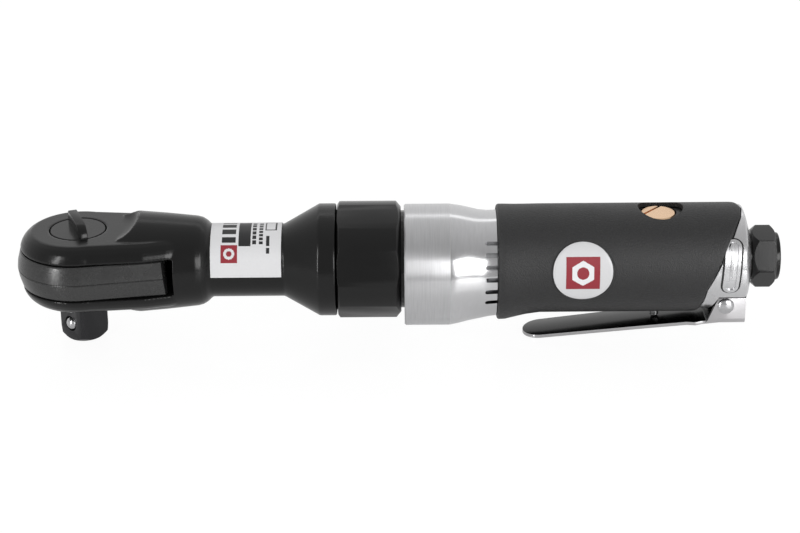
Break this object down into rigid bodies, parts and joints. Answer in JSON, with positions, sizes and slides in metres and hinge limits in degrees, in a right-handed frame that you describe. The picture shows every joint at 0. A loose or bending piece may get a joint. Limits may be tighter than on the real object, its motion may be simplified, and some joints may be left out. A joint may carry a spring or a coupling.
{
  "type": "air ratchet",
  "caption": "Pneumatic ratchet wrench: forked head with square drive and reverse knob, hexagonal coupling nut, alloy motor housing with rubber grip, chromed throttle lever and air inlet.",
  "frame": {"origin": "centre of the drive square's end face", "axes": "+X from the drive along the tool to the air inlet, +Z from the drive square up through the reverse knob, +Y completes a right-handed frame; the tool's long axis is 28 mm above the origin"},
  "size_m": [0.2665, 0.0435, 0.0492],
  "materials": {
    "casting": "black oxide, satin with sharp highlights",
    "label_foil": "silver foil, printed",
    "dark_steel": "black oxide, machined",
    "ground_steel": "ground",
    "spring_steel": "drawn wire and spring strip",
    "bronze": "sintered bronze",
    "alloy": "turned and polished",
    "brass": "turned brass",
    "chrome": "bright plated pressing",
    "grip_rubber": "moulded with a fine matt grain",
    "seal_rubber": "smooth",
    "vane_fibre": "resin bonded fibre"
  },
  "bodies": {
    "body": {"ratchet_head": "casting", "name_label": "label_foil", "badge_disc": "label_foil", "coupling_nut": "dark_steel", "housing_adapter": "dark_steel", "inlet_bushing": "dark_steel", "thrust_washer": "ground_steel", "ring_gear": "ground_steel", "clamp_spacer": "ground_steel", "front_rotor_bearing": "ground_steel", "rear_rotor_bearing": "ground_steel", "motor_cylinder": "ground_steel", "cylinder_pin": "ground_steel", "lever_pin": "ground_steel", "retaining_ring": "spring_steel", "throttle_spring": "spring_steel", "front_crank_bush": "bronze", "rear_crank_bush": "bronze", "motor_housing": "alloy", "front_end_plate": "alloy", "rear_end_plate": "alloy", "valve_seat": "brass", "inlet_screen": "brass", "grip_sleeve": "grip_rubber", "inlet_oring": "seal_rubber"},
    "yoke": {"ratchet_yoke": "dark_steel"},
    "anvil": {"drive_anvil": "dark_steel", "pawl_pin": "ground_steel", "ball_spring": "spring_steel"},
    "pawl": {"reversing_pawl": "ground_steel"},
    "knob": {"reverse_knob": "dark_steel", "pawl_plunger": "ground_steel", "pawl_spring": "spring_steel"},
    "ball": {"socket_ball": "ground_steel"},
    "crank": {"crankshaft": "ground_steel", "planet_pin_1": "ground_steel", "planet_pin_2": "ground_steel", "planet_pin_3": "ground_steel"},
    "crank_roller": {"drive_bushing": "bronze"},
    "planet_1": {"planet_gear_1": "ground_steel"},
    "planet_2": {"planet_gear_2": "ground_steel"},
    "planet_3": {"planet_gear_3": "ground_steel"},
    "rotor": {"rotor": "ground_steel", "rotor_vane_1": "vane_fibre", "rotor_vane_2": "vane_fibre", "rotor_vane_3": "vane_fibre", "rotor_vane_4": "vane_fibre", "rotor_vane_5": "vane_fibre"},
    "lever": {"throttle_lever": "chrome"},
    "valve": {"throttle_valve": "ground_steel"},
    "regulator": {"air_regulator": "brass", "regulator_oring": "seal_rubber"}
  },
  "joints": [
    {"name": "rotor_spin", "type": "hinge", "parent": "body", "child": "rotor", "pos_m": [0.13, 0, 0.028], "axis": [1, 0, 0], "continuous": true},
    {"name": "crank_spin", "type": "hinge", "parent": "body", "child": "crank", "pos_m": [0.06, 0, 0.028], "axis": [1, 0, 0], "continuous": true},
    {"name": "crank_roller_spin", "type": "hinge", "parent": "crank", "child": "crank_roller", "pos_m": [0.0265, 0, 0.0306], "axis": [1, 0, 0], "continuous": true},
    {"name": "planet_1_spin", "type": "hinge", "parent": "crank", "child": "planet_1", "pos_m": [0.091, 0.0081, 0.028], "axis": [1, 0, 0], "continuous": true},
    {"name": "planet_2_spin", "type": "hinge", "parent": "crank", "child": "planet_2", "pos_m": [0.091, -0.00405, 0.03501], "axis": [1, 0, 0], "continuous": true},
    {"name": "planet_3_spin", "type": "hinge", "parent": "crank", "child": "planet_3", "pos_m": [0.091, -0.00405, 0.02099], "axis": [1, 0, 0], "continuous": true},
    {"name": "yoke_swing", "type": "hinge", "parent": "body", "child": "yoke", "pos_m": [0, 0, 0.028], "axis": [0, 0, 1], "range_deg": [-5.6, 5.6]},
    {"name": "anvil_spin", "type": "hinge", "parent": "body", "child": "anvil", "pos_m": [0, 0, 0.028], "axis": [0, 0, 1], "continuous": true},
    {"name": "reverse_turn", "type": "hinge", "parent": "anvil", "child": "knob", "pos_m": [0, 0, 0.028], "axis": [0, 0, 1], "range_deg": [-60, 0]},
    {"name": "pawl_rock", "type": "hinge", "parent": "anvil", "child": "pawl", "pos_m": [-0.00122, -0.00689, 0.028], "axis": [0, 0, 1], "range_deg": [0, 10]},
    {"name": "ball_press", "type": "slide", "parent": "anvil", "child": "ball", "axis": [0.6691, 0.7431, 0], "range_m": [0, 0.0012], "stiffness_N_per_m": 1500, "springref_m": -0.001},
    {"name": "lever_press", "type": "hinge", "parent": "body", "child": "lever", "pos_m": [0.226, 0, 0.0138], "axis": [0, 1, 0], "range_deg": [0, 5.8]},
    {"name": "valve_lift", "type": "slide", "parent": "body", "child": "valve", "axis": [0, 0, 1], "range_m": [0, 0.0025], "deforming": ["throttle_spring"]},
    {"name": "regulator_turn", "type": "hinge", "parent": "body", "child": "regulator", "pos_m": [0.2023, 0, 0.038], "axis": [0, 0, 1], "range_deg": [-90, 90]}
  ],
  "couplings": [
    {"joint": "crank_spin", "follows": "rotor_spin", "ratio": 0.22222},
    {"joint": "crank_roller_spin", "follows": "rotor_spin", "ratio": -0.22222},
    {"joint": "planet_1_spin", "follows": "rotor_spin", "ratio": -0.62222},
    {"joint": "planet_2_spin", "follows": "rotor_spin", "ratio": -0.62222},
    {"joint": "planet_3_spin", "follows": "rotor_spin", "ratio": -0.62222},
    {"joint": "pawl_rock", "follows": "reverse_turn", "ratio": -0.16},
    {"joint": "valve_lift", "follows": "lever_press", "m_per_rad": 0.0237}
  ]
}
